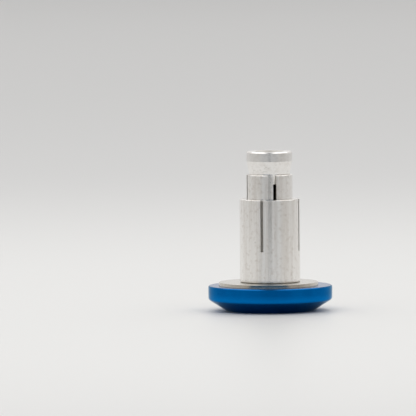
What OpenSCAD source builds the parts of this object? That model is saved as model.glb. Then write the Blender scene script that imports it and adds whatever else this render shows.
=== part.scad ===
// Bar end weight: a turned cap on an expanding plug that grips the inside of a tubular handlebar.
// The screw pulls the tapered nut into the collet, whose fingers spread against the sleeve.
// It stands on the cap's face, with its axis along +Z and the tapered nut on top.

/* [Cap] */
// Diameter of the cap
cap_d = 36; // [34:0.5:42]
// Thickness of the cap
cap_t = 7.3; // [6.8:0.1:9]
// Width of the bevel round the face, along the radius
cap_bevel_w = 5.25; // [3:0.05:6]
// Height of the bevel
cap_bevel_h = 3.3; // [2:0.1:4.5]
// Broken edge at the cap's back
cap_edge = 0.4; // [0.1:0.05:0.8]
// Width of the flat land between the bevel and the recess
face_land = 0.6; // [0.3:0.05:1]
// Depth of the recess in the face
recess_depth = 0.55; // [0.3:0.05:1]
// Width of the recess's sloping wall
recess_slope = 0.8; // [0.3:0.05:1.2]
// Broken edge of the holes in the cap
cap_hole_edge = 0.15; // [0.05:0.05:0.3]

/* [Countersunk screw] */
// Diameter of the thread
thread_d = 8; // [7:0.5:9]
// Length of the screw with its head
screw_len = 45; // [42:0.5:50]
// Diameter of the head
head_d = 16; // [14:0.5:18]
// Angle of the head's cone
head_angle = 90; // [82:1:96]
// Height of the head's straight edge
head_land = 0.4; // [0.2:0.05:0.8]
// Broken edge round the head's face
head_edge = 0.12; // [0.05:0.01:0.18]
// Depth of the head's face below the recess
head_sink = 0.4; // [0.2:0.05:0.8]
// Hexagon socket, across its flats
socket_af = 5; // [4:0.5:6]
// Depth of the socket's flats
socket_depth = 3; // [2:0.1:3.5]
// Angle of the drilled bottom of the socket
drill_angle = 118; // [110:1:130]
// Height of the bevel at the screw's tip
tip_bevel = 0.8; // [0.4:0.1:1.2]

/* [Washer] */
// Diameter of the washer
washer_d = 29; // [24:0.5:32]
// Thickness of the washer
washer_t = 1; // [0.8:0.1:2]
// Play of the washer round the screw, along the radius
washer_play = 0.5; // [0.2:0.05:1]
// Broken edge of the washer
washer_edge = 0.1; // [0.05:0.01:0.2]
// Share of its play by which the loose washer has slid to the left
washer_slide = 0.9; // [0:0.1:0.9]

/* [Outer sleeve] */
// Wall of the sleeve, which slips over the collet
sleeve_wall = 2; // [1.2:0.05:3.5]
// Length of the sleeve
sleeve_len = 24.1; // [22:0.1:28]
// Number of slots in the sleeve
sleeve_slots = 4; // [2:1:6]
// Width of a sleeve slot
sleeve_slot_w = 0.8; // [0.5:0.05:1.5]
// Length of a sleeve slot
sleeve_slot_len = 15; // [10:0.5:18]
// Turn of the sleeve's first slot from the front
sleeve_slot_turn = -16; // [-45:1:45]
// Broken edge of the sleeve's ends
sleeve_edge = 0.25; // [0.1:0.05:0.5]

/* [Inner collet] */
// Wall of the collet round the screw's bore
collet_wall = 2.4; // [2:0.05:3]
// Length of the collet
collet_len = 31.2; // [29:0.1:34]
// Wall of the collet's fingers at the mouth
mouth_wall = 0.75; // [0.5:0.05:0.95]
// Number of slots in the collet
collet_slots = 4; // [2:1:6]
// Width of a collet slot
collet_slot_w = 0.93; // [0.5:0.01:1.5]
// Length of a collet slot
collet_slot_len = 22; // [16:0.5:25]
// Turn of the collet's first slot from the front
collet_slot_turn = 13; // [-45:1:45]
// Broken edge of the collet's ends
collet_edge = 0.15; // [0.05:0.05:0.3]

/* [Tapered nut] */
// How far the nut stays inside the collet's outer size, along the radius
nut_inset = 0.05; // [0:0.05:0.4]
// Length of the nut
nut_len = 9.4; // [8:0.1:11]
// Length of the nut's straight end
nut_land = 2.8; // [2:0.1:4]
// Slope of the nut's taper, which the collet's mouth repeats
taper_angle = 10.8; // [9:0.1:12]
// Broken edge of the nut's ends
nut_edge = 0.35; // [0.1:0.05:0.6]
// Bevel at both ends of the tapped hole
tap_bevel = 0.6; // [0.2:0.05:0.8]

/* [Fits] */
// Running clearance of the thread, along the radius
thread_gap = 0.05; // [0.02:0.01:0.1]
// Clearance between two tapered seats
seat_gap = 0.05; // [0.02:0.01:0.1]
// Slip clearance between the sleeve and the collet, along the radius
slip_gap = 0.05; // [0.02:0.01:0.15]
// Gap round the screw's head in the cap
head_gap = 0.4; // [0.2:0.05:0.6]
// Clearance round the screw in the cap and in the collet
screw_gap = 0.3; // [0.2:0.05:0.5]

/* [Hidden] */
$fn = 96;

// Reaches past a face that a cut runs out of
over = 1;
aluminium = "#c3c2be";
steel = "#aca79c";
anodised_blue = "#00609c";

// Heights of the stack above the surface it stands on
washer_z = cap_t;
plug_z = washer_z + washer_t;
sleeve_top = plug_z + sleeve_len;
collet_top = plug_z + collet_len;

// Screw: head, cone and shank
screw_r = thread_d / 2 - thread_gap;
head_r = head_d / 2;
head_z = recess_depth + head_sink;
cone_z = head_z + head_land;
cone_slope = tan(head_angle / 2);
neck_z = cone_z + (head_r - screw_r) / cone_slope;
tip_z = head_z + screw_len;
socket_r = socket_af / 2 / cos(30);

// Cap: the face, the pocket for the head and the seat of its cone
cap_r = cap_d / 2;
face_r = cap_r - cap_bevel_w;
land_r = face_r - face_land;
recess_r = land_r - recess_slope;
pocket_r = head_r + head_gap;
through_r = thread_d / 2 + screw_gap;
seat_r = head_r + seat_gap / cos(head_angle / 2);
seat_z = cone_z - (pocket_r - seat_r) / cone_slope;
seat_end_z = cone_z + (seat_r - through_r) / cone_slope;

// Washer: how far it has slid before its hole meets the screw
washer_hole_r = thread_d / 2 + washer_play;
washer_shift = washer_slide * (washer_hole_r - screw_r);

// Collet: the bore, and the mouth that takes the nut
bore_r = thread_d / 2 + screw_gap;
collet_r = bore_r + collet_wall;
mouth_r = collet_r - mouth_wall;
taper = tan(taper_angle);
mouth_z = collet_top - (mouth_r - bore_r) / taper;

// Sleeve: slips over the collet
sleeve_bore_r = collet_r + slip_gap;
sleeve_r = sleeve_bore_r + sleeve_wall;

// Nut: its taper rests in the mouth
nut_r = collet_r - nut_inset;
nut_taper_z = collet_top + (nut_r - mouth_r + seat_gap / cos(taper_angle)) / taper;
nut_top = nut_taper_z + nut_land;
nut_foot = nut_top - nut_len;
nut_foot_r = nut_r - (nut_taper_z - nut_foot) * taper;
tap_r = thread_d / 2;

// A tube from z0 to z1 with all four edges broken
module tube(outer_r, inner_r, z0, z1, edge) {
    rotate_extrude()
        polygon([
            [inner_r + edge, z0],
            [outer_r - edge, z0],
            [outer_r, z0 + edge],
            [outer_r, z1 - edge],
            [outer_r - edge, z1],
            [inner_r + edge, z1],
            [inner_r, z1 - edge],
            [inner_r, z0 + edge],
        ]);
}

// Saw cuts down from z1, spaced evenly, with a finger between them on the X axis
module saw_slots(count, width, length, z1, reach) {
    for (i = [0 : count - 1])
        rotate((i + 0.5) * 360 / count)
            translate([0, -width / 2, z1 - length])
                cube([reach, width, length + over]);
}

// Turns a slotted piece until a slot lies this far from the front, towards +X
module first_slot_at(turn, count) {
    rotate(turn - 90 - 180 / count)
        children();
}

module end_cap() {
    color(anodised_blue)
        rotate_extrude()
            polygon([
                [through_r + cap_hole_edge, cap_t],
                [cap_r - cap_edge, cap_t],
                [cap_r, cap_t - cap_edge],
                [cap_r, cap_bevel_h],
                [face_r, 0],
                [land_r, 0],
                [recess_r, recess_depth],
                [pocket_r + cap_hole_edge, recess_depth],
                [pocket_r, recess_depth + cap_hole_edge],
                [pocket_r, seat_z],
                [through_r, seat_end_z],
                [through_r, cap_t - cap_hole_edge],
            ]);
}

module screw_blank() {
    rotate_extrude()
        polygon([
            [0, head_z],
            [head_r - head_edge, head_z],
            [head_r, head_z + head_edge],
            [head_r, cone_z],
            [screw_r, neck_z],
            [screw_r, tip_z - tip_bevel],
            [screw_r - tip_bevel, tip_z],
            [0, tip_z],
        ]);
}

// Hexagon socket with a countersunk mouth and a drilled bottom
module key_socket() {
    translate([0, 0, head_z - over])
        rotate(30)
            cylinder(r = socket_r, h = socket_depth + over, $fn = 6);
    translate([0, 0, head_z + socket_depth])
        cylinder(r1 = socket_af / 2, r2 = 0, h = socket_af / 2 / tan(drill_angle / 2));
    translate([0, 0, head_z - over])
        cylinder(r1 = socket_r + over, r2 = 0, h = socket_r + over);
}

module countersunk_screw() {
    color(steel)
        difference() {
            screw_blank();
            key_socket();
        }
}

module washer() {
    color(steel)
        translate([-washer_shift, 0, 0])
            tube(washer_d / 2, washer_hole_r, washer_z, plug_z, washer_edge);
}

module outer_sleeve() {
    color(aluminium)
        first_slot_at(sleeve_slot_turn, sleeve_slots)
            difference() {
                tube(sleeve_r, sleeve_bore_r, plug_z, sleeve_top, sleeve_edge);
                saw_slots(sleeve_slots, sleeve_slot_w, sleeve_slot_len, sleeve_top,
                    sleeve_r + over);
            }
}

module collet_blank() {
    rotate_extrude()
        polygon([
            [bore_r, plug_z],
            [collet_r - collet_edge, plug_z],
            [collet_r, plug_z + collet_edge],
            [collet_r, collet_top - collet_edge],
            [collet_r - collet_edge, collet_top],
            [mouth_r, collet_top],
            [bore_r, mouth_z],
        ]);
}

module inner_collet() {
    color(aluminium)
        first_slot_at(collet_slot_turn, collet_slots)
            difference() {
                collet_blank();
                saw_slots(collet_slots, collet_slot_w, collet_slot_len, collet_top,
                    collet_r + over);
            }
}

module tapered_nut() {
    color(aluminium)
        rotate_extrude()
            polygon([
                [tap_r + tap_bevel, nut_foot],
                [nut_foot_r, nut_foot],
                [nut_r, nut_taper_z],
                [nut_r, nut_top - nut_edge],
                [nut_r - nut_edge, nut_top],
                [tap_r + tap_bevel, nut_top],
                [tap_r, nut_top - tap_bevel],
                [tap_r, nut_foot + tap_bevel],
            ]);
}

end_cap();
countersunk_screw();
washer();
outer_sleeve();
inner_collet();
tapered_nut();
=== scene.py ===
import math
import bmesh
import bpy
from mathutils import Matrix, Vector


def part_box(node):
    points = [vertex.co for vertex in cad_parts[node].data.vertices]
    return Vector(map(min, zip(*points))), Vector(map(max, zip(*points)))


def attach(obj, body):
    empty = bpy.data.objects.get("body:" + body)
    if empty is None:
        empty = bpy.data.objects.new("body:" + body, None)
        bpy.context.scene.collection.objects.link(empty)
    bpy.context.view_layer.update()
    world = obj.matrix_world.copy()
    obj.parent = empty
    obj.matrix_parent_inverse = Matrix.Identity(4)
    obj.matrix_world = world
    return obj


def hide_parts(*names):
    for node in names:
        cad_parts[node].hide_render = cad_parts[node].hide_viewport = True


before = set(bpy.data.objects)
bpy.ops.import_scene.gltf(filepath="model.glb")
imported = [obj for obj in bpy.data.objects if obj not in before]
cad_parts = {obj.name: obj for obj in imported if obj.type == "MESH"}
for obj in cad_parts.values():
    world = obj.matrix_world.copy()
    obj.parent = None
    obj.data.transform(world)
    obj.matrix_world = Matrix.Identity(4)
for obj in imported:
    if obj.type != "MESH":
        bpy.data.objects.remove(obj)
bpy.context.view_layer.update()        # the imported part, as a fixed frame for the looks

# Bar end weight, standing on the face of its cap, as it would on a table in a photo tent.
# Lengths in the dictionaries are millimetres, and z is measured up from the table.
mm = 0.001


def fromHex(text):
    channels = [int(text[i:i + 2], 16) / 255 for i in (1, 3, 5)]
    linear = [c / 12.92 if c <= 0.04045 else ((c + 0.055) / 1.055) ** 2.4 for c in channels]
    return linear + [1.0]


def addNode(tree, kind, inputs=None, **settings):
    # An input takes a socket, a list of sockets or a plain value
    node = tree.nodes.new(kind)
    for name, value in settings.items():
        setattr(node, name, value)
    for key, value in (inputs or {}).items():
        if isinstance(value, bpy.types.NodeSocket):
            tree.links.new(value, node.inputs[key])
        elif isinstance(value, list) and isinstance(value[0], bpy.types.NodeSocket):
            for source in value:
                tree.links.new(source, node.inputs[key])
        else:
            node.inputs[key].default_value = value
    return node


# Camera: a long lens, nearly level with the table

photoView = {
    "framePixels": 416,
    "pixelsPerMm": 3.446,
    "standsAt": (270.5, 310.2),   # pixel where the part's axis meets the table
    "elevation": 3.7,             # degrees
    "roll": 0.45,                 # degrees by which the part's top leans to the left in the frame
    "distance": 2500,
    "sensor": 36,
    "clip": (100, 60000),
}


def aimCamera(view):
    # Aims so that the foot of the part's axis lands on its own pixel
    centre = view["framePixels"] / 2
    tilt = math.radians(view["elevation"])
    roll = math.radians(view["roll"])
    right = (centre - view["standsAt"][0]) / view["pixelsPerMm"]
    up = (view["standsAt"][1] - centre) / view["pixelsPerMm"]
    levelRight = right * math.cos(roll) + up * math.sin(roll)
    levelUp = up * math.cos(roll) - right * math.sin(roll)
    target = Vector((levelRight, 0, levelUp / math.cos(tilt))) * mm
    back = Vector((0, -math.cos(tilt), math.sin(tilt)))
    lensData = bpy.data.cameras.new("longLens")
    lensData.sensor_width = view["sensor"]
    lensData.lens = view["sensor"] * view["distance"] * view["pixelsPerMm"] / view["framePixels"]
    lensData.clip_start = view["clip"][0] * mm
    lensData.clip_end = view["clip"][1] * mm
    camera = bpy.data.objects.new("camera", lensData)
    camera.location = target + back * view["distance"] * mm
    level = (-back).to_track_quat("-Z", "Y").to_matrix()
    camera.rotation_euler = (level @ Matrix.Rotation(-roll, 3, "Z")).to_euler()
    bpy.context.scene.collection.objects.link(camera)
    bpy.context.scene.camera = camera


aimCamera(photoView)
bpy.context.scene.view_settings.view_transform = "Standard"
print("camera aimed")


# Light: a white tent that is dimmer at the front, with softboxes above and behind the part

tent = {
    "hem": "#c0beba",
    "front": "#466179",
    "left": "#bcbab6",
    "right": "#aba7a2",
    "back": "#e6e5e3",
    "roof": "#d6d6d6",
    "slit": "#acacac",
    "far": "#dbdbda",           # all that the camera itself sees of the tent
    "middle": (-0.3, 0.3),      # how far right a direction points where the left wall turns into the right
    "opening": (-0.74, -0.6),   # how far back, where the dim front meets the side walls
    "paling": (-0.4, 0.9),      # and where the side walls turn into the back
    "hemTop": (2, 6),           # degrees above the table, where the pale hem of the front ends
    "roofLine": (25, 48),       # and where the walls turn into the roof
    "slitEdge": (0.12, 0.07),   # half width of the slit that dims the roof over the part
    "slitEnd": (0.25, 0.1),     # and how far back it runs
}


def hangTent(values):
    world = bpy.data.worlds.new("photoTent")
    bpy.context.scene.world = world
    world.use_nodes = True
    tree = world.node_tree
    tree.nodes.clear()
    direction = addNode(tree, "ShaderNodeTexCoord").outputs["Generated"]
    axes = addNode(tree, "ShaderNodeSeparateXYZ", {"Vector": direction}).outputs
    sideways = addNode(tree, "ShaderNodeMath", {0: axes["X"]}, operation="ABSOLUTE").outputs[0]
    share = {"seen": addNode(tree, "ShaderNodeLightPath").outputs["Is Camera Ray"]}
    for name, reading, isAngle, curve in (
        ("middle", axes["X"], False, "LINEAR"),
        ("opening", axes["Y"], False, "SMOOTHSTEP"),
        ("paling", axes["Y"], False, "SMOOTHSTEP"),
        ("hemTop", axes["Z"], True, "SMOOTHSTEP"),
        ("roofLine", axes["Z"], True, "SMOOTHSTEP"),
        ("slitEdge", sideways, False, "SMOOTHSTEP"),
        ("slitEnd", axes["Y"], False, "SMOOTHSTEP"),
    ):
        first, last = [math.sin(math.radians(end)) if isAngle else end for end in values[name]]
        share[name] = addNode(tree, "ShaderNodeMapRange", {
            "Value": reading,
            "From Min": first,
            "From Max": last,
        }, interpolation_type=curve).outputs[0]
    share["inSlit"] = addNode(tree, "ShaderNodeMath", {
        0: share["slitEdge"],
        1: share["slitEnd"],
    }, operation="MINIMUM").outputs[0]
    names = ("hem", "front", "left", "right", "back", "roof", "slit", "far")
    tone = {name: fromHex(values[name]) for name in names}
    for name, factor, first, second, method in (
        ("facing", "hemTop", "hem", "front", "MIX"),
        ("flanks", "middle", "left", "right", "MIX"),
        ("sides", "opening", "facing", "flanks", "MIX"),
        ("walls", "paling", "sides", "back", "MIX"),
        ("cloth", "roofLine", "walls", "roof", "MIX"),
        ("lit", "inSlit", "cloth", "slit", "DARKEN"),
        ("shown", "seen", "lit", "far", "MIX"),
    ):
        tone[name] = addNode(tree, "ShaderNodeMix", {
            "Factor": share[factor],
            "A": tone[first],
            "B": tone[second],
        }, data_type="RGBA", blend_type=method).outputs["Result"]
    light = addNode(tree, "ShaderNodeBackground", {"Color": tone["shown"], "Strength": 1.0})
    addNode(tree, "ShaderNodeOutputWorld", {"Surface": light.outputs[0]})


softboxes = {
    "leftBox": {"at": (-440, -60, 800), "size": (1500, 640), "watts": 2.2},
    "rightBox": {"at": (440, -60, 800), "size": (1500, 640), "watts": 2.2},
    "backBox": {"at": (0, 1900, 1500), "size": (1500, 1200), "watts": 7},
}
softboxAim = (0, 0, 20)


def hangSoftbox(name, box):
    lamp = bpy.data.lights.new(name, "AREA")
    lamp.shape = "RECTANGLE"
    lamp.size = box["size"][0] * mm
    lamp.size_y = box["size"][1] * mm
    lamp.energy = box["watts"]
    holder = bpy.data.objects.new(name, lamp)
    holder.location = Vector(box["at"]) * mm
    beam = Vector(softboxAim) * mm - holder.location
    holder.rotation_euler = beam.to_track_quat("-Z", "Y").to_euler()
    bpy.context.scene.collection.objects.link(holder)


def startMaterial(name):
    material = bpy.data.materials.new(name)
    material.use_nodes = True
    tree = material.node_tree
    tree.nodes.clear()
    return material, tree


def endOneSided(tree, surface):
    # From behind, the sheet is clear and isn't mirrored
    clear = addNode(tree, "ShaderNodeBsdfTransparent")
    behind = addNode(tree, "ShaderNodeNewGeometry").outputs["Backfacing"]
    sheet = addNode(tree, "ShaderNodeMixShader", {0: behind, 1: surface.outputs[0], 2: clear.outputs[0]})
    addNode(tree, "ShaderNodeOutputMaterial", {"Surface": sheet.outputs[0]})


def setSheet(name, corners, material):
    mesh = bpy.data.meshes.new(name)
    mesh.from_pydata([Vector(corner) * mm for corner in corners], [], [(0, 1, 2, 3)])
    mesh.materials.append(material)
    sheet = bpy.data.objects.new(name, mesh)
    bpy.context.scene.collection.objects.link(sheet)
    return sheet


# A low dark card before the lens, which only the metal shows, draws the dark line down the walls

blackCard = {"distance": 330, "halfWidth": 42, "height": 13, "tone": "#444446"}


def standCard(values):
    material, tree = startMaterial("blackCard")
    endOneSided(tree, addNode(tree, "ShaderNodeBsdfDiffuse", {"Color": fromHex(values["tone"])}))
    reach = values["halfWidth"]
    y = -values["distance"]
    top = values["height"]
    corners = [(reach, y, 0), (-reach, y, 0), (-reach, y, top), (reach, y, top)]
    card = setSheet("blackCard", corners, material)
    card.visible_camera = False
    card.visible_diffuse = False
    card.visible_shadow = False


hangTent(tent)
for boxName, box in softboxes.items():
    hangSoftbox(boxName, box)
standCard(blackCard)
print("tent, softboxes and card set up")


# Table: one pale sheet that runs on to the back, its colour painted paler near the part and darker further
# off, a painted pool of light

table = {
    "halfWidth": 9000,
    "below": 0.02,        # just clear of the face of the cap
    "near": "#e6e5e3",
    "far": "#d2d1d0",
    "fallsFrom": 150,
    "fallsTo": 700,
    "roughness": 0.45,
}


def paperMaterial(values):
    # Satin white card: matt from above, with a soft gloss where it is seen at a low angle
    material, tree = startMaterial("paleCard")
    place = addNode(tree, "ShaderNodeTexCoord").outputs["Object"]
    away = addNode(tree, "ShaderNodeVectorMath", {0: place}, operation="LENGTH")
    # painted pool of light: the colour goes from the paler tone by the part to the darker far tone
    fall = addNode(tree, "ShaderNodeMapRange", {
        "Value": away.outputs["Value"],
        "From Min": values["fallsFrom"] * mm,
        "From Max": values["fallsTo"] * mm,
    }, interpolation_type="SMOOTHSTEP")
    tone = addNode(tree, "ShaderNodeMix", {
        "Factor": fall.outputs[0],
        "A": fromHex(values["near"]),
        "B": fromHex(values["far"]),
    }, data_type="RGBA")
    card = addNode(tree, "ShaderNodeBsdfPrincipled", {
        "Base Color": tone.outputs["Result"],
        "Roughness": values["roughness"],
    })
    endOneSided(tree, card)
    return material


def layTable(values):
    reach = values["halfWidth"]
    z = -values["below"]
    corners = [(-reach, -reach, z), (reach, -reach, z), (reach, reach, z), (-reach, reach, z)]
    setSheet("table", corners, paperMaterial(values))


layTable(table)
print("table laid")


# Materials: each mark has its real size, apart from the finest, which are drawn coarse enough to show.
# Patches are given as (width, share of the surface, strength), spots as (spacing, radius, share of cells).

def startMetal(name):
    material, tree = startMaterial(name)
    return material, tree, addNode(tree, "ShaderNodeTexCoord").outputs["Object"]


def latheRings(tree, place):
    # Distance from the axis and height: a pattern on these runs in rings, as the tool's marks do
    axes = addNode(tree, "ShaderNodeSeparateXYZ", {"Vector": place})
    flat = addNode(tree, "ShaderNodeCombineXYZ", {"X": axes.outputs["X"], "Y": axes.outputs["Y"]})
    out = addNode(tree, "ShaderNodeVectorMath", {0: flat.outputs[0]}, operation="LENGTH")
    rings = addNode(tree, "ShaderNodeCombineXYZ", {"X": out.outputs["Value"], "Y": axes.outputs["Z"]})
    return rings.outputs[0]


def roughness(tree, place, width, detail=3.0):
    # An uneven height from 0 to 1, mostly near 0.5, with hills about this wide
    noise = addNode(tree, "ShaderNodeTexNoise", {
        "Vector": place,
        "Scale": 1 / (width * mm),
        "Detail": detail,
        "Roughness": 0.6,
    })
    return noise.outputs["Fac"]


def patches(tree, place, width, cover, depth):
    # Soft patches about this wide, on this share of the surface, as strong as depth in their middle
    level = 0.5 + 0.4 * (0.5 - cover)
    softness = 0.08
    mask = addNode(tree, "ShaderNodeMapRange", {
        "Value": roughness(tree, place, width),
        "From Min": level - softness,
        "From Max": level + softness,
        "To Max": depth,
    })
    return mask.outputs[0]


def spots(tree, place, spacing, radius, share):
    # Small round marks, one in each of this share of cells that are as wide as the spacing
    cells = addNode(tree, "ShaderNodeTexVoronoi", {"Vector": place, "Scale": 1 / (spacing * mm)})
    inside = addNode(tree, "ShaderNodeMapRange", {
        "Value": cells.outputs["Distance"],
        "From Min": radius / spacing,
        "From Max": 0.4 * radius / spacing,
    })
    draw = addNode(tree, "ShaderNodeSeparateXYZ", {"Vector": cells.outputs["Color"]})
    drawn = addNode(tree, "ShaderNodeMath", {0: draw.outputs["X"], 1: share}, operation="LESS_THAN")
    mask = addNode(tree, "ShaderNodeMath", {0: inside.outputs[0], 1: drawn.outputs[0]},
                   operation="MULTIPLY")
    return mask.outputs[0]


def layTones(tree, colour, marks):
    # Starts from the clean colour and lays each mark over it, where its mask says
    tone = fromHex(colour)
    for markColour, mask in marks:
        tone = addNode(tree, "ShaderNodeMix", {
            "Factor": mask,
            "A": tone,
            "B": fromHex(markColour),
        }, data_type="RGBA").outputs["Result"]
    return tone


def cutRelief(tree, marks):
    # Adds up the heights of the marks, each as high as it says in millimetres
    total = 0.0
    for height, mask in marks:
        heap = addNode(tree, "ShaderNodeMath", {0: mask, 1: height, 2: total}, operation="MULTIPLY_ADD")
        total = heap.outputs[0]
    return addNode(tree, "ShaderNodeBump", {"Strength": 1.0, "Distance": mm, "Height": total}).outputs[0]


def spreadGloss(tree, mask, low, high):
    return addNode(tree, "ShaderNodeMapRange", {
        "Value": mask,
        "From Min": 0.3,
        "From Max": 0.7,
        "To Min": low,
        "To Max": high,
    }).outputs[0]


def turnedMetal(tree, tone, gloss, relief, stretch, edgeTint=(1, 1, 1, 1)):
    # The rings left by a lathe stretch each reflection across themselves: along the axis on a wall
    around = addNode(tree, "ShaderNodeTangent", direction_type="RADIAL", axis="Z")
    metal = addNode(tree, "ShaderNodeBsdfPrincipled", {
        "Base Color": tone,
        "Metallic": 1.0,
        "Roughness": gloss,
        "Specular Tint": edgeTint,
        "Anisotropic": stretch,
        "Anisotropic Rotation": 0.25,
        "Tangent": around.outputs[0],
        "Normal": relief,
    })
    addNode(tree, "ShaderNodeOutputMaterial", {"Surface": metal.outputs[0]})


def pressedMetal(tree, tone, gloss, relief):
    # Rolled, stamped or cold formed: its gloss has no direction
    metal = addNode(tree, "ShaderNodeBsdfPrincipled", {
        "Base Color": tone,
        "Metallic": 1.0,
        "Roughness": gloss,
        "Normal": relief,
    })
    addNode(tree, "ShaderNodeOutputMaterial", {"Surface": metal.outputs[0]})


# Anodised aluminium: turned, etched satin and dyed. The dye tints what the metal mirrors, so the cap is a
# deep, clear blue that only pales where it is seen nearly edge on, and the lower rim is painted paler, a
# painted highlight.

anodised = {
    "dye": "#0062a9",
    "deepDye": "#005a9e",
    "paintedRimLightDye": "#0074c2",
    "rubbed": "#4d98b8",
    "dust": "#8fb2c6",
    "edgeTint": "#c4dde2",
    "facedTint": "#fffaf6",
    "gloss": (0.17, 0.2),
    "stretch": 0.3,
    "ringWidth": 0.35,      # the real feed marks are about 0.1 apart
    "ringHeight": 0.0003,
    "etchWidth": 0.3,       # the real etch is finer than a hundredth
    "etchHeight": 0.0002,
    "clouds": (5, 0.5, 0.8),
    "dustSpots": (2.6, 0.16, 0.12),
    "rimRadius": 17.55,     # what lies further out than this is the rim
    "zones": {              # each starts at the first height, is full at the second and this strong there
        # painted highlight: the rim's colour is paler towards the bevel
        "paintedRimLight": (5.3, 3.5, 1.0),
        "worn": (6.94, 7.04, 0.12),
        "faced": (7.2, 7.28, 1.0),
    },
}


def dyeCap(values):
    material, tree, place = startMetal("anodisedBlueAluminium")
    rings = latheRings(tree, place)
    feedMarks = roughness(tree, rings, values["ringWidth"])
    etch = roughness(tree, place, values["etchWidth"])
    where = addNode(tree, "ShaderNodeSeparateXYZ", {"Vector": rings})
    zones = {}
    for name, (start, full, strength) in values["zones"].items():
        zones[name] = addNode(tree, "ShaderNodeMapRange", {
            "Value": where.outputs["Y"],
            "From Min": start * mm,
            "From Max": full * mm,
            "To Max": strength,
        }).outputs[0]
    onRim = addNode(tree, "ShaderNodeMath", {0: where.outputs["X"], 1: values["rimRadius"] * mm},
                    operation="GREATER_THAN").outputs[0]
    for name in ("paintedRimLight", "worn"):
        zones[name] = addNode(tree, "ShaderNodeMath", {0: zones[name], 1: onRim},
                              operation="MULTIPLY").outputs[0]
    tone = layTones(tree, values["dye"], [
        (values["deepDye"], patches(tree, place, *values["clouds"])),
        # painted highlight: a paler blue over the lower part of the rim
        (values["paintedRimLightDye"], zones["paintedRimLight"]),
        (values["rubbed"], zones["worn"]),
        (values["dust"], spots(tree, place, *values["dustSpots"])),
    ])
    # The back face has the finest cut, so at a low angle it mirrors the backdrop with hardly any blue
    edgeTint = addNode(tree, "ShaderNodeMix", {
        "Factor": zones["faced"],
        "A": fromHex(values["edgeTint"]),
        "B": fromHex(values["facedTint"]),
    }, data_type="RGBA")
    relief = cutRelief(tree, [(values["ringHeight"], feedMarks), (values["etchHeight"], etch)])
    gloss = spreadGloss(tree, etch, *values["gloss"])
    turnedMetal(tree, tone, gloss, relief, values["stretch"], edgeTint.outputs["Result"])
    return material


# Turned aluminium, left bare: pale and a little warm. Fine rings from the tool draw each reflection out
# along the axis, lines of the drawn bar run along it, and handling has left dull stains and a few pits.

bareAluminium = {
    "clean": "#f6f4f1",
    "barLine": "#e9e5e0",
    "stain": "#d2c9c0",
    "pit": "#6d675f",
    "sawn": "#c0bdb6",
    "sawnGloss": 0.4,
    "skin": 0.08,           # deeper than this in the wall is sawn
    "endSkin": 0.2,
    "gloss": (0.14, 0.18),
    "stretch": 0.4,
    "ringWidth": 0.3,       # the real feed marks are about 0.08 apart
    "ringHeight": 0.0007,
    "grainWidth": 0.35,     # the real grain is finer than a tenth
    "grainHeight": 0.001,
    "lineWidth": 0.9,
    "lineSlimness": 0.03,   # width of a line of the bar over its length
    "lineHeight": 0.0004,
    "lineCover": 0.45,
    "lineDepth": 0.8,
    "stains": (1.1, 0.22, 0.5),
    "pits": (2.4, 0.2, 0.22),
    "pitHeight": -0.01,
}


def turnTube(name, values, outer, top):
    # Below the skin of the wall and clear of its end, only the saw and the drill have been
    material, tree, place = startMetal(name)
    rings = latheRings(tree, place)
    where = addNode(tree, "ShaderNodeSeparateXYZ", {"Vector": rings})
    deep = {}
    for axis, limit in (("X", outer - values["skin"]), ("Y", top - values["endSkin"])):
        deep[axis] = addNode(tree, "ShaderNodeMath", {0: where.outputs[axis], 1: limit * mm},
                             operation="LESS_THAN").outputs[0]
    sawn = addNode(tree, "ShaderNodeMath", {0: deep["X"], 1: deep["Y"]}, operation="MULTIPLY")
    feedMarks = roughness(tree, rings, values["ringWidth"])
    grain = roughness(tree, place, values["grainWidth"])
    drawnOut = addNode(tree, "ShaderNodeVectorMath", {0: place, 1: (1, 1, values["lineSlimness"])},
                       operation="MULTIPLY").outputs[0]
    barLines = roughness(tree, drawnOut, values["lineWidth"], 2.0)
    lineTone = patches(tree, drawnOut, values["lineWidth"], values["lineCover"], values["lineDepth"])
    pits = spots(tree, place, *values["pits"])
    tone = layTones(tree, values["clean"], [
        (values["barLine"], lineTone),
        (values["stain"], patches(tree, place, *values["stains"])),
        (values["pit"], pits),
        (values["sawn"], sawn.outputs[0]),
    ])
    gloss = addNode(tree, "ShaderNodeMix", {
        "Factor": sawn.outputs[0],
        "A": spreadGloss(tree, grain, *values["gloss"]),
        "B": values["sawnGloss"],
    }).outputs["Result"]
    relief = cutRelief(tree, [
        (values["ringHeight"], feedMarks),
        (values["grainHeight"], grain),
        (values["lineHeight"], barLines),
        (values["pitHeight"], pits),
    ])
    turnedMetal(tree, tone, gloss, relief, values["stretch"])
    return material


# Turned aluminium of the nut: the cone is scuffed in small dull specks where the collet rubs on it,
# the straight end keeps the clean finish of the tool, and the tap has left its thread dull

nutAluminium = {
    "clean": "#f6f4f1",
    "scuff": "#b4b5aa",
    "smear": "#e6e2dd",
    "tapped": "#c4c1bb",
    "tappedGloss": 0.42,
    "tapRadius": 4.2,
    "gloss": (0.14, 0.18),
    "stretch": 0.4,
    "ringWidth": 0.25,      # the real feed marks are about 0.08 apart
    "ringHeight": 0.0007,
    "grainWidth": 0.35,     # the real grain is finer than a tenth
    "grainHeight": 0.0008,
    "scuffs": (0.55, 0.22, 0.5),
    "clumps": (2.2, 0.5, 0.7),
    "smears": (1.2, 0.4, 0.6),
    "coneTop": 43.4,        # height where the cone ends and the straight end starts
}


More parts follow.
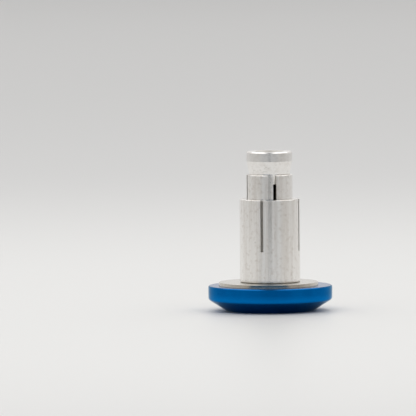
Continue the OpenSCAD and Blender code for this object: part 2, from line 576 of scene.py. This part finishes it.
def turnCone(values):
    material, tree, place = startMetal("turnedAluminiumNut")
    rings = latheRings(tree, place)
    feedMarks = roughness(tree, rings, values["ringWidth"])
    grain = roughness(tree, place, values["grainWidth"])
    where = addNode(tree, "ShaderNodeSeparateXYZ", {"Vector": rings})
    onCone = addNode(tree, "ShaderNodeMath", {0: where.outputs["Y"], 1: values["coneTop"] * mm},
                     operation="LESS_THAN")
    scuffs = spots(tree, place, *values["scuffs"])
    for mask in (patches(tree, place, *values["clumps"]), onCone.outputs[0]):
        scuffs = addNode(tree, "ShaderNodeMath", {0: scuffs, 1: mask}, operation="MULTIPLY").outputs[0]
    tapped = addNode(tree, "ShaderNodeMath", {0: where.outputs["X"], 1: values["tapRadius"] * mm},
                     operation="LESS_THAN")
    tone = layTones(tree, values["clean"], [
        (values["smear"], patches(tree, place, *values["smears"])),
        (values["scuff"], scuffs),
        (values["tapped"], tapped.outputs[0]),
    ])
    gloss = addNode(tree, "ShaderNodeMix", {
        "Factor": tapped.outputs[0],
        "A": spreadGloss(tree, grain, *values["gloss"]),
        "B": values["tappedGloss"],
    }).outputs["Result"]
    relief = cutRelief(tree, [(values["ringHeight"], feedMarks), (values["grainHeight"], grain)])
    turnedMetal(tree, tone, gloss, relief, values["stretch"])
    return material


# Stainless steel sheet, stamped and tumbled: a warmer, darker grey than the aluminium, smooth on its faces
# under faint scratches that run every way, with traces of brown tarnish in soft patches

stampedSteel = {
    "clean": "#cdc9c2",
    "tarnish": "#a89c86",
    "gloss": (0.14, 0.19),
    "grainWidth": 0.25,     # the real tumbling marks are finer than a tenth
    "grainHeight": 0.0004,
    "scratchWidth": 0.12,
    "scratchLength": 4,
    "scratchHeight": 0.0005,
    "scratchAngles": (0.4, 1.7, 2.6),
    "tarnishing": (1.5, 0.3, 0.25),
}


def stampSheet(values):
    material, tree, place = startMetal("stampedStainlessSteel")
    grain = roughness(tree, place, values["grainWidth"])
    slimness = values["scratchWidth"] / values["scratchLength"]
    marks = [(values["grainHeight"], grain)]
    for angle in values["scratchAngles"]:
        turned = addNode(tree, "ShaderNodeMapping", {
            "Vector": place,
            "Rotation": (0, 0, angle),
        }, vector_type="TEXTURE")
        drawnOut = addNode(tree, "ShaderNodeVectorMath", {0: turned.outputs[0], 1: (slimness, 1, 1)},
                           operation="MULTIPLY").outputs[0]
        marks.append((values["scratchHeight"], roughness(tree, drawnOut, values["scratchWidth"], 1.0)))
    tone = layTones(tree, values["clean"], [
        (values["tarnish"], patches(tree, place, *values["tarnishing"])),
    ])
    pressedMetal(tree, tone, spreadGloss(tree, grain, *values["gloss"]), cutRelief(tree, marks))
    return material


# Stainless steel of the screw, cold headed and pickled: a matt, warm grey head with small brown spots of
# tea stain and fine dents, and a smoother shank and rolled thread

pickledSteel = {
    "clean": "#c6bbab",
    "cloud": "#b3a793",
    "spot": "#7c6242",
    "gloss": (0.2, 0.36),
    "grainWidth": 0.22,     # the real pickled grain is finer than a tenth
    "grainHeight": 0.002,
    "clouds": (2.4, 0.5, 0.8),
    "spots": (1.1, 0.2, 0.3),
    "dentHeight": -0.01,
    "headTop": 5.4,         # height where the cone of the head meets the shank
}


def pickleScrew(values):
    material, tree, place = startMetal("pickledStainlessSteel")
    grain = roughness(tree, place, values["grainWidth"], 4.0)
    dents = spots(tree, place, *values["spots"])
    height = addNode(tree, "ShaderNodeSeparateXYZ", {"Vector": place}).outputs["Z"]
    shank = addNode(tree, "ShaderNodeMath", {0: height, 1: values["headTop"] * mm},
                    operation="GREATER_THAN")
    gloss = addNode(tree, "ShaderNodeMapRange", {
        "Value": shank.outputs[0],
        "To Min": values["gloss"][1],
        "To Max": values["gloss"][0],
    })
    tone = layTones(tree, values["clean"], [
        (values["cloud"], patches(tree, place, *values["clouds"])),
        (values["spot"], dents),
    ])
    relief = cutRelief(tree, [(values["grainHeight"], grain), (values["dentHeight"], dents)])
    pressedMetal(tree, tone, gloss.outputs[0], relief)
    return material


# Machining: each piece is turned from a profile, then slotted, threaded or broached

weldDistance = 0.0002 * mm    # closes the seams and poles


def newTree(name, sizes):
    tree = bpy.data.node_groups.new(name, "GeometryNodeTree")
    tree.interface.new_socket("Geometry", in_out="OUTPUT", socket_type="NodeSocketGeometry")
    for label, kind in {"Geometry": "Geometry", **sizes, "Material": "Material"}.items():
        tree.interface.new_socket(label, in_out="INPUT", socket_type="NodeSocket" + kind)
    return tree, tree.nodes.new("NodeGroupInput").outputs


def endTree(tree, geometry, entry):
    whole = addNode(tree, "GeometryNodeRealizeInstances", {"Geometry": geometry})
    dressed = addNode(tree, "GeometryNodeSetMaterial", {
        "Geometry": whole.outputs["Geometry"],
        "Material": entry["Material"],
    })
    addNode(tree, "NodeGroupOutput", {"Geometry": dressed.outputs["Geometry"]})
    return tree


def latheTree():
    # Rounds the profile's corners and carries it round the axis
    tree, entry = newTree("lathe", {"Steps": "Int", "Corner steps": "Int", "Closed": "Bool"})
    curve = addNode(tree, "GeometryNodeMeshToCurve", {"Mesh": entry["Geometry"]})
    corner = addNode(tree, "GeometryNodeInputNamedAttribute", {"Name": "corner"}, data_type="FLOAT")
    rounded = addNode(tree, "GeometryNodeFilletCurve", {
        "Curve": curve.outputs["Curve"],
        "Count": entry["Corner steps"],
        "Radius": corner.outputs["Attribute"],
        "Limit Radius": True,
    }, mode="POLY")
    size = addNode(tree, "GeometryNodeAttributeDomainSize", {"Geometry": rounded.outputs["Curve"]},
                   component="CURVE")
    points = size.outputs["Point Count"]
    rows = addNode(tree, "ShaderNodeMath", {0: points, 1: entry["Closed"]}, operation="ADD")
    columns = addNode(tree, "ShaderNodeMath", {0: entry["Steps"], 1: 1.0}, operation="ADD")
    grid = addNode(tree, "GeometryNodeMeshGrid", {
        "Vertices X": rows.outputs[0],
        "Vertices Y": columns.outputs[0],
    })
    index = addNode(tree, "GeometryNodeInputIndex").outputs[0]
    share = addNode(tree, "ShaderNodeMath", {0: index, 1: columns.outputs[0]}, operation="DIVIDE")
    row = addNode(tree, "ShaderNodeMath", {0: share.outputs[0]}, operation="FLOOR")
    rowInLoop = addNode(tree, "ShaderNodeMath", {0: row.outputs[0], 1: points}, operation="MODULO")
    column = addNode(tree, "ShaderNodeMath", {0: index, 1: columns.outputs[0]}, operation="MODULO")
    turn = addNode(tree, "ShaderNodeMath", {0: column.outputs[0], 1: 2 * math.pi}, operation="MULTIPLY")
    angle = addNode(tree, "ShaderNodeMath", {0: turn.outputs[0], 1: entry["Steps"]}, operation="DIVIDE")
    position = addNode(tree, "GeometryNodeInputPosition").outputs[0]
    sample = addNode(tree, "GeometryNodeSampleIndex", {
        "Geometry": rounded.outputs["Curve"],
        "Value": position,
        "Index": rowInLoop.outputs[0],
    }, data_type="FLOAT_VECTOR", domain="POINT")
    profile = addNode(tree, "ShaderNodeSeparateXYZ", {"Vector": sample.outputs[0]})
    spread = {"Z": profile.outputs["Z"]}
    for axis, ratio in (("X", "COSINE"), ("Y", "SINE")):
        factor = addNode(tree, "ShaderNodeMath", {0: angle.outputs[0]}, operation=ratio).outputs[0]
        spread[axis] = addNode(tree, "ShaderNodeMath", {0: profile.outputs["X"], 1: factor},
                               operation="MULTIPLY").outputs[0]
    place = addNode(tree, "ShaderNodeCombineXYZ", spread)
    carried = addNode(tree, "GeometryNodeSetPosition", {
        "Geometry": grid.outputs["Mesh"],
        "Position": place.outputs[0],
    })
    joined = addNode(tree, "GeometryNodeMergeByDistance", {
        "Geometry": carried.outputs["Geometry"],
        "Distance": weldDistance,
    })
    return endTree(tree, joined.outputs["Geometry"], entry)


def sawTree():
    # Sets copies of the saw round the axis and cuts them away
    tree, entry = newTree("slittingSaw", {"Saw": "Object", "Slots": "Int", "First slot": "Float"})
    saw = addNode(tree, "GeometryNodeObjectInfo", {"Object": entry["Saw"]}, transform_space="ORIGINAL")
    stations = addNode(tree, "GeometryNodePoints", {"Count": entry["Slots"]})
    index = addNode(tree, "GeometryNodeInputIndex").outputs[0]
    pitch = addNode(tree, "ShaderNodeMath", {0: 2 * math.pi, 1: entry["Slots"]}, operation="DIVIDE")
    angle = addNode(tree, "ShaderNodeMath", {
        0: index,
        1: pitch.outputs[0],
        2: entry["First slot"],
    }, operation="MULTIPLY_ADD")
    turn = addNode(tree, "ShaderNodeCombineXYZ", {"Z": angle.outputs[0]})
    saws = addNode(tree, "GeometryNodeInstanceOnPoints", {
        "Points": stations.outputs[0],
        "Instance": saw.outputs["Geometry"],
        "Rotation": turn.outputs[0],
    })
    solidSaws = addNode(tree, "GeometryNodeRealizeInstances", {"Geometry": saws.outputs["Instances"]})
    cut = addNode(tree, "GeometryNodeMeshBoolean", {
        "Mesh 1": entry["Geometry"],
        "Mesh 2": solidSaws.outputs["Geometry"],
    }, operation="DIFFERENCE", solver="EXACT")
    return endTree(tree, cut.outputs["Mesh"], entry)


def threadTree():
    # Cuts a right-hand groove, inwards from the wall of a shank or outwards from the wall of a hole
    tree, entry = newTree("thread", {
        "Pitch": "Float",
        "Inner radius": "Float",
        "Outer radius": "Float",
        "Start": "Float",
        "Run out": "Float",
        "Inside": "Bool",
    })
    position = addNode(tree, "GeometryNodeInputPosition").outputs[0]
    axes = addNode(tree, "ShaderNodeSeparateXYZ", {"Vector": position})
    angle = addNode(tree, "ShaderNodeMath", {0: axes.outputs["Y"], 1: axes.outputs["X"]},
                    operation="ARCTAN2")
    turns = addNode(tree, "ShaderNodeMath", {0: angle.outputs[0], 1: 2 * math.pi}, operation="DIVIDE")
    rise = addNode(tree, "ShaderNodeMath", {0: axes.outputs["Z"], 1: entry["Pitch"]}, operation="DIVIDE")
    phase = addNode(tree, "ShaderNodeMath", {0: rise.outputs[0], 1: turns.outputs[0]}, operation="SUBTRACT")
    wave = addNode(tree, "ShaderNodeMath", {0: phase.outputs[0], 1: 0.5}, operation="PINGPONG")
    # The wave is 0 in the middle of the outer flat, which is an eighth of the pitch wide, and 0.5 in the
    # middle of the inner flat, which is a quarter of it
    flank = addNode(tree, "ShaderNodeMapRange", {
        "Value": wave.outputs[0],
        "From Min": 0.0625,
        "From Max": 0.375,
        "To Min": 0.0,
        "To Max": 1.0,
    }, interpolation_type="SMOOTHSTEP")
    fade = addNode(tree, "ShaderNodeMath", {0: axes.outputs["Z"], 1: entry["Start"]}, operation="SUBTRACT")
    faded = addNode(tree, "ShaderNodeMath", {0: fade.outputs[0], 1: entry["Run out"]}, operation="DIVIDE",
                    use_clamp=True)
    depth = addNode(tree, "ShaderNodeMath", {0: flank.outputs[0], 1: faded.outputs[0]},
                    operation="MULTIPLY")
    reach = addNode(tree, "ShaderNodeMath", {0: entry["Inner radius"], 1: entry["Outer radius"]},
                    operation="SUBTRACT")
    groove = addNode(tree, "ShaderNodeMath", {
        0: depth.outputs[0],
        1: reach.outputs[0],
        2: entry["Outer radius"],
    }, operation="MULTIPLY_ADD")
    flat = addNode(tree, "ShaderNodeVectorMath", {0: position, 1: (1, 1, 0)}, operation="MULTIPLY")
    out = addNode(tree, "ShaderNodeVectorMath", {0: flat.outputs[0]}, operation="LENGTH")
    walls = {}
    for inside, pick in (("False", "MINIMUM"), ("True", "MAXIMUM")):
        walls[inside] = addNode(tree, "ShaderNodeMath", {0: out.outputs["Value"], 1: groove.outputs[0]},
                                operation=pick).outputs[0]
    wall = addNode(tree, "GeometryNodeSwitch", {"Switch": entry["Inside"], **walls}, input_type="FLOAT")
    aim = addNode(tree, "ShaderNodeVectorMath", {0: flat.outputs[0]}, operation="NORMALIZE")
    spoke = addNode(tree, "ShaderNodeVectorMath", {0: aim.outputs[0], "Scale": wall.outputs[0]},
                    operation="SCALE")
    up = addNode(tree, "ShaderNodeCombineXYZ", {"Z": axes.outputs["Z"]})
    place = addNode(tree, "ShaderNodeVectorMath", {0: spoke.outputs[0], 1: up.outputs[0]}, operation="ADD")
    above = addNode(tree, "ShaderNodeMath", {0: axes.outputs["Z"], 1: entry["Start"]},
                    operation="GREATER_THAN")
    moved = addNode(tree, "GeometryNodeSetPosition", {
        "Geometry": entry["Geometry"],
        "Selection": above.outputs[0],
        "Position": place.outputs[0],
    })
    return endTree(tree, moved.outputs["Geometry"], entry)


def broachTree():
    # Sinks a hexagon socket into the face at the bottom, with a drilled end and a countersunk mouth
    tree, entry = newTree("broach", {
        "Flats": "Float",
        "Depth": "Float",
        "Face": "Float",
        "Drill slope": "Float",
    })
    start = 1.0 * mm  # the tools come in from this far below the face
    half = addNode(tree, "ShaderNodeMath", {0: entry["Flats"], 1: 0.5}, operation="MULTIPLY").outputs[0]
    corner = addNode(tree, "ShaderNodeMath", {0: half, 1: math.cos(math.radians(30))},
                     operation="DIVIDE").outputs[0]
    length = addNode(tree, "ShaderNodeMath", {0: entry["Depth"], 1: start}, operation="ADD").outputs[0]
    entryZ = addNode(tree, "ShaderNodeMath", {0: entry["Face"], 1: start}, operation="SUBTRACT").outputs[0]
    middleZ = addNode(tree, "ShaderNodeMath", {0: length, 1: 0.5, 2: entryZ},
                      operation="MULTIPLY_ADD").outputs[0]
    endZ = addNode(tree, "ShaderNodeMath", {0: entry["Face"], 1: entry["Depth"]},
                   operation="ADD").outputs[0]
    drillDepth = addNode(tree, "ShaderNodeMath", {0: half, 1: entry["Drill slope"]},
                         operation="DIVIDE").outputs[0]
    mouth = addNode(tree, "ShaderNodeMath", {0: corner, 1: start}, operation="ADD").outputs[0]
    hexagon = addNode(tree, "GeometryNodeMeshCylinder", {"Vertices": 6, "Radius": corner, "Depth": length})
    drill = addNode(tree, "GeometryNodeMeshCone", {
        "Vertices": 64,
        "Radius Top": 0.0,
        "Radius Bottom": half,
        "Depth": drillDepth,
    })
    countersink = addNode(tree, "GeometryNodeMeshCone", {
        "Vertices": 96,
        "Radius Top": 0.0,
        "Radius Bottom": mouth,
        "Depth": mouth,
    })
    tools = []
    for tool, z in ((hexagon, middleZ), (drill, endZ), (countersink, entryZ)):
        place = addNode(tree, "ShaderNodeCombineXYZ", {"Z": z})
        tools.append(addNode(tree, "GeometryNodeTransform", {
            "Geometry": tool.outputs["Mesh"],
            "Translation": place.outputs[0],
            "Rotation": (0, 0, math.radians(30)),
        }).outputs["Geometry"])
    cut = addNode(tree, "GeometryNodeMeshBoolean", {
        "Mesh 1": entry["Geometry"],
        "Mesh 2": tools,
    }, operation="DIFFERENCE", solver="MANIFOLD")
    return endTree(tree, cut.outputs["Mesh"], entry)


lathe = latheTree()
slittingSaw = sawTree()
threadCutter = threadTree()
broach = broachTree()
print("lathe, slitting saw, thread cutter and broach ready")


def profileObject(name, profile, closed):
    # Points are (distance from the axis, height, radius of the corner)
    mesh = bpy.data.meshes.new(name)
    count = len(profile)
    edges = [(i, (i + 1) % count) for i in range(count if closed else count - 1)]
    mesh.from_pydata([(r * mm, 0, z * mm) for r, z, _ in profile], edges, [])
    corner = mesh.attributes.new("corner", "FLOAT", "POINT")
    corner.data.foreach_set("value", [point[2] * mm for point in profile])
    holder = bpy.data.objects.new(name, mesh)
    bpy.context.scene.collection.objects.link(holder)
    return holder


def runTree(holder, tree, values):
    modifier = holder.modifiers.new(tree.name, "NODES")
    modifier.node_group = tree
    for item in tree.interface.items_tree:
        if item.in_out == "INPUT" and item.name in values:
            modifier[item.identifier] = values[item.name]


def plainMesh(holder):
    bpy.context.view_layer.update()
    seen = holder.evaluated_get(bpy.context.evaluated_depsgraph_get())
    mesh = bpy.data.meshes.new_from_object(seen)
    holder.modifiers.clear()
    holder.data = mesh
    return mesh


def turnPiece(name, profile, steps, metal, cornerSteps=3, closed=True):
    piece = profileObject(name, profile, closed)
    runTree(piece, lathe, {
        "Steps": steps,
        "Corner steps": cornerSteps,
        "Closed": closed,
        "Material": metal,
    })
    return piece


def standing(nodeName):
    # Where a CAD piece starts and ends above the table
    low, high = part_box(nodeName)
    return low.z / mm, high.z / mm


def sawShape(name, values, outer, top):
    # A blade of the slot's width, flared where it leaves the wall, which breaks the slot's edges
    half = values["slotWidth"] / 2
    flare = values["slotEdge"]
    reach = 1.0
    bottom = top - values["slotLength"]
    mouth = math.sqrt(outer ** 2 - half ** 2) - flare
    section = [(values["slotFrom"], half, 0), (mouth, half, 0), (mouth + reach, half + reach, reach)]
    ring = section + [(x, -y, drop) for x, y, drop in reversed(section)]
    verts = [(x * mm, y * mm, (bottom - drop) * mm) for x, y, drop in ring]
    verts += [(x * mm, y * mm, (top + reach) * mm) for x, y, drop in ring]
    count = len(ring)
    faces = [(i, (i + 1) % count, (i + 1) % count + count, i + count) for i in range(count)]
    # The blade's flat bottom, its flared bottom and its top
    faces += [(0, 5, 4, 1), (1, 4, 3, 2), tuple(range(count, 2 * count))]
    mesh = bpy.data.meshes.new(name)
    mesh.from_pydata(verts, [], faces)
    work = bmesh.new()
    work.from_mesh(mesh)
    bmesh.ops.recalc_face_normals(work, faces=work.faces)
    work.to_mesh(mesh)
    work.free()
    saw = bpy.data.objects.new(name, mesh)
    bpy.context.scene.collection.objects.link(saw)
    return saw


def sawSlots(piece, values, outer, top, metal):
    saw = sawShape(piece.name + "Saw", values, outer, top)
    runTree(piece, slittingSaw, {
        "Saw": saw,
        "Slots": values["slots"],
        "First slot": math.radians(values["firstSlot"] - 90),
        "Material": metal,
    })
    plainMesh(piece)
    bpy.data.objects.remove(saw)


sharpAngle = 32     # degrees; corners that turn further stay crisp


def finishPiece(holder, bodyName, nodeName):
    mesh = plainMesh(holder)
    # Slots without a material are dropped
    for i in reversed(range(len(mesh.materials))):
        if mesh.materials[i] is None:
            mesh.materials.pop(index=i)
    work = bmesh.new()
    work.from_mesh(mesh)
    bmesh.ops.remove_doubles(work, verts=work.verts, dist=weldDistance)
    bmesh.ops.recalc_face_normals(work, faces=work.faces)
    if work.calc_volume(signed=True) < 0:
        bmesh.ops.reverse_faces(work, faces=work.faces)
    work.to_mesh(mesh)
    work.free()
    mesh.shade_smooth()
    mesh.set_sharp_from_angle(angle=math.radians(sharpAngle))
    even = holder.modifiers.new("evenNormals", "WEIGHTED_NORMAL")
    even.weight = 80
    even.keep_sharp = True
    plainMesh(holder)
    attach(holder, bodyName)
    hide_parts(nodeName)
    print(holder.name, "finished:", len(holder.data.polygons), "faces")


# End cap

cap = {
    "radius": 18,
    "thickness": 7.3,
    "faceRadius": 12.75,
    "bevelHeight": 3.3,
    "backEdge": 0.3,
    "flare": 0.05,         # the rim draws in by this much towards the bevel
    "flareHeight": 2.0,
    "land": 0.6,
    "recess": 0.55,
    "recessSlope": 0.8,
    "pocketRadius": 8.4,
    "holeEdge": 0.15,
    "throughRadius": 4.3,
    "seatStart": 1.021,
    "seatEnd": 5.121,
    "steps": 256,
    "soft": 0.12,          # corner radii, from here on
    "rimSoft": 1.0,
    "flareSoft": 30,
    "floorSoft": 0.3,
    "pocketSoft": 0.06,
    "seatSoft": 0.1,
    "holeSoft": 0.05,
}


def turnCap(values):
    radius = values["radius"]
    back = values["thickness"]
    pocket = values["pocketRadius"]
    through = values["throughRadius"]
    edge = values["backEdge"]
    holeEdge = values["holeEdge"]
    soft = values["soft"]
    holeSoft = values["holeSoft"]
    landInside = values["faceRadius"] - values["land"]
    floorRadius = landInside - values["recessSlope"]
    profile = [
        (through + holeEdge, back, holeSoft),
        (radius - edge, back, soft),
        (radius, back - edge, soft),
        (radius, values["bevelHeight"] + values["flareHeight"], values["flareSoft"]),
        (radius - values["flare"], values["bevelHeight"], values["rimSoft"]),
        (values["faceRadius"], 0, soft),
        (landInside, 0, soft),
        (floorRadius, values["recess"], values["floorSoft"]),
        (pocket + holeEdge, values["recess"], values["pocketSoft"]),
        (pocket, values["recess"] + holeEdge, values["pocketSoft"]),
        (pocket, values["seatStart"], values["seatSoft"]),
        (through, values["seatEnd"], holeSoft),
        (through, back - holeEdge, holeSoft),
    ]
    piece = turnPiece("endCap", profile, values["steps"], dyeCap(anodised))
    finishPiece(piece, "plug", "end_cap")


turnCap(cap)


# Washer: stamped from sheet, loose on the screw

washer = {
    "radius": 14.5,
    "hole": 4.5,
    "lean": 0.12,       # the sheared edge is this much smaller at the top
    "burr": 0.03,
    "soft": 0.12,
    "steps": 192,
}


def stampWasher(values):
    bottom, top = standing("washer")
    radius = values["radius"]
    hole = values["hole"]
    burr = values["burr"]
    profile = [
        (hole + burr, bottom, burr),
        (radius - burr, bottom, burr),
        (radius, bottom + burr, burr),
        (radius - values["lean"], top, values["soft"]),
        (hole, top, values["soft"]),
        (hole, bottom + burr, burr),
    ]
    piece = turnPiece("plainWasher", profile, values["steps"], stampSheet(stampedSteel), cornerSteps=4)
    # Slid to where the CAD washer lies
    low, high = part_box("washer")
    plainMesh(piece).transform(Matrix.Translation(((low.x + high.x) / 2, 0, 0)))
    finishPiece(piece, "plug", "washer")


stampWasher(washer)


# Outer sleeve: slotted, slips over the collet

sleeve = {
    "radius": 8.75,
    "wall": 2,
    "foot": 0.25,
    "edge": 0.12,
    "soft": 0.06,
    "steps": 256,
    "slots": 4,
    "slotWidth": 0.8,
    "slotLength": 15,
    "slotEdge": 0.05,
    "slotFrom": 5,
    "firstSlot": -16,     # degrees from the front, towards the right
}


def turnSleeve(values):
    bottom, top = standing("outer_sleeve")
    outer = values["radius"]
    inner = outer - values["wall"]
    foot = values["foot"]
    edge = values["edge"]
    soft = values["soft"]
    profile = [
        (inner + foot, bottom, soft),
        (outer - foot, bottom, soft),
        (outer, bottom + foot, soft),
        (outer, top - edge, soft),
        (outer - edge, top, soft),
        (inner + edge, top, soft),
        (inner, top - edge, soft),
        (inner, bottom + foot, soft),
    ]
    metal = turnTube("turnedAluminiumSleeve", bareAluminium, outer, top)
    piece = turnPiece("outerSleeve", profile, values["steps"], metal)
    sawSlots(piece, values, outer, top, metal)
    finishPiece(piece, "plug", "outer_sleeve")


turnSleeve(sleeve)


# Inner collet: its bored fingers open to a tapered mouth for the nut

collet = {
    "radius": 6.7,
    "bore": 4.3,
    "mouth": 5.95,
    "mouthDepth": 8.649,
    "edge": 0.15,
    "soft": 0.06,
    "steps": 256,
    "slots": 4,
    "slotWidth": 0.93,
    "slotLength": 22,
    "slotEdge": 0.06,
    "slotFrom": 0.5,
    "firstSlot": 13,
}


def turnCollet(values):
    bottom, top = standing("inner_collet")
    radius = values["radius"]
    edge = values["edge"]
    soft = values["soft"]
    profile = [
        (values["bore"], bottom, soft),
        (radius - edge, bottom, soft),
        (radius, bottom + edge, soft),
        (radius, top - edge, soft),
        (radius - edge, top, soft),
        (values["mouth"], top, soft),
        (values["bore"], top - values["mouthDepth"], soft),
    ]
    metal = turnTube("turnedAluminiumCollet", bareAluminium, radius, top)
    piece = turnPiece("innerCollet", profile, values["steps"], metal)
    sawSlots(piece, values, radius, top, metal)
    finishPiece(piece, "plug", "inner_collet")


turnCollet(collet)


# M8 coarse thread, the same on the screw and in the nut

thread = {"pitch": 1.25, "rowSpacing": 0.08}


def rowsBetween(first, last):
    # Close rows of points from one to the other, so that a thread can be cut there
    count = max(1, round(math.dist(first, last) / thread["rowSpacing"]))
    return [(first[0] + (last[0] - first[0]) * i / count, first[1] + (last[1] - first[1]) * i / count, 0)
            for i in range(count + 1)]


# Tapered nut: the screw draws it into the collet's mouth

nut = {
    "radius": 6.65,
    "land": 2.8,
    "footRadius": 5.391,
    "edge": 0.35,
    "soft": 0.15,
    "coneSoft": 0.1,
    "ridge": 3.35,     # the thread's ridges reach in to here
    "groove": 4.0,
    "mouth": 4.15,
    "steps": 192,
}


def turnNut(values):
    bottom, top = standing("tapered_nut")
    radius = values["radius"]
    mouth = values["mouth"]
    ridge = values["ridge"]
    edge = values["edge"]
    soft = values["soft"]
    lead = mouth - ridge
    profile = [
        (values["footRadius"], bottom, soft),
        (radius, top - values["land"], values["coneSoft"]),
        (radius, top - edge, soft),
        (radius - edge, top, soft),
    ]
    profile += rowsBetween((mouth, top), (ridge, top - lead))
    profile += rowsBetween((ridge, top - lead), (ridge, bottom + lead))[1:-1]
    profile += rowsBetween((ridge, bottom + lead), (mouth, bottom))
    metal = turnCone(nutAluminium)
    piece = turnPiece("taperedNut", profile, values["steps"], metal)
    runTree(piece, threadCutter, {
        "Pitch": thread["pitch"] * mm,
        "Inner radius": ridge * mm,
        "Outer radius": values["groove"] * mm,
        "Start": 0.0,     # from the table up, so the thread has no end inside the nut
        "Run out": 1.0 * mm,
        "Inside": True,
        "Material": metal,
    })
    finishPiece(piece, "nut", "tapered_nut")


turnNut(nut)


# Countersunk screw: hexagon socket, threaded for the last 28 mm

screw = {
    "radius": 8,
    "headEdge": 0.12,
    "headLand": 0.4,
    "shank": 3.95,
    "root": 3.25,
    "threadLength": 28,
    "runOut": 1.8,
    "tipBevel": 0.8,
    "flats": 5,
    "socketDepth": 3,
    "drillSlope": 1.664,   # tangent of half the drill's 118 degrees
    "soft": 0.05,
    "rimSoft": 0.08,
    "neckSoft": 0.1,
    "steps": 96,
}


def rollScrew(values):
    bottom, top = standing("countersunk_screw")
    radius = values["radius"]
    shank = values["shank"]
    edge = values["headEdge"]
    bevel = values["tipBevel"]
    cone = bottom + values["headLand"]
    threadStart = top - values["threadLength"]
    profile = [
        (0, bottom, 0),
        (radius - edge, bottom, values["soft"]),
        (radius, bottom + edge, values["soft"]),
        (radius, cone, values["rimSoft"]),
        (shank, cone + radius - shank, values["neckSoft"]),
    ]
    profile += rowsBetween((shank, threadStart), (shank, top - bevel))
    profile += rowsBetween((shank, top - bevel), (shank - bevel, top))[1:]
    profile += [(0, top, 0)]
    metal = pickleScrew(pickledSteel)
    piece = turnPiece("countersunkScrew", profile, values["steps"], metal, closed=False)
    runTree(piece, threadCutter, {
        "Pitch": thread["pitch"] * mm,
        "Inner radius": values["root"] * mm,
        "Outer radius": shank * mm,
        "Start": threadStart * mm,
        "Run out": values["runOut"] * mm,
        "Inside": False,
        "Material": metal,
    })
    runTree(piece, broach, {
        "Flats": values["flats"] * mm,
        "Depth": values["socketDepth"] * mm,
        "Face": bottom * mm,
        "Drill slope": values["drillSlope"],
        "Material": metal,
    })
    finishPiece(piece, "screw", "countersunk_screw")


rollScrew(screw)
